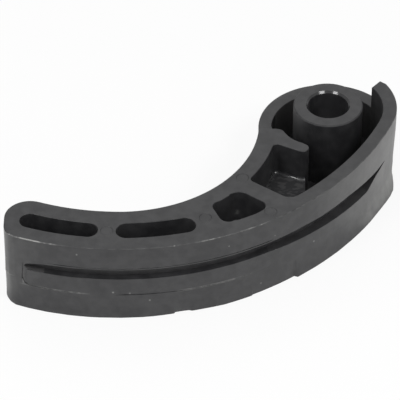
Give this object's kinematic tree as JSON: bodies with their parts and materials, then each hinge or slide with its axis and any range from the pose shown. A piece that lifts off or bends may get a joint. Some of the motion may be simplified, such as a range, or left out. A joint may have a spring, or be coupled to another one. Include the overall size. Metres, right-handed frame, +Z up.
{
  "type": "timing chain tensioner rail",
  "caption": "Curved one-piece moulded rail that swings on a pivot bolt and presses its grooved outer face against a timing chain, with ribs and pockets inside.",
  "frame": {"origin": "on the pivot axis, in the plane of the underside", "axes": "the rail lies flat on its underside, as in the picture; +Z up along the pivot axis; the far end of the arm points along -X; the running face bulges along -Y"},
  "size_m": [0.0996, 0.0736, 0.0229],
  "materials": {
    "rail_plastic": "as moulded glass-filled nylon, black, satin, with faint flow marks and small scuffs"
  },
  "bodies": {
    "root": {"tensioner_rail": "rail_plastic"}
  },
  "joints": []
}
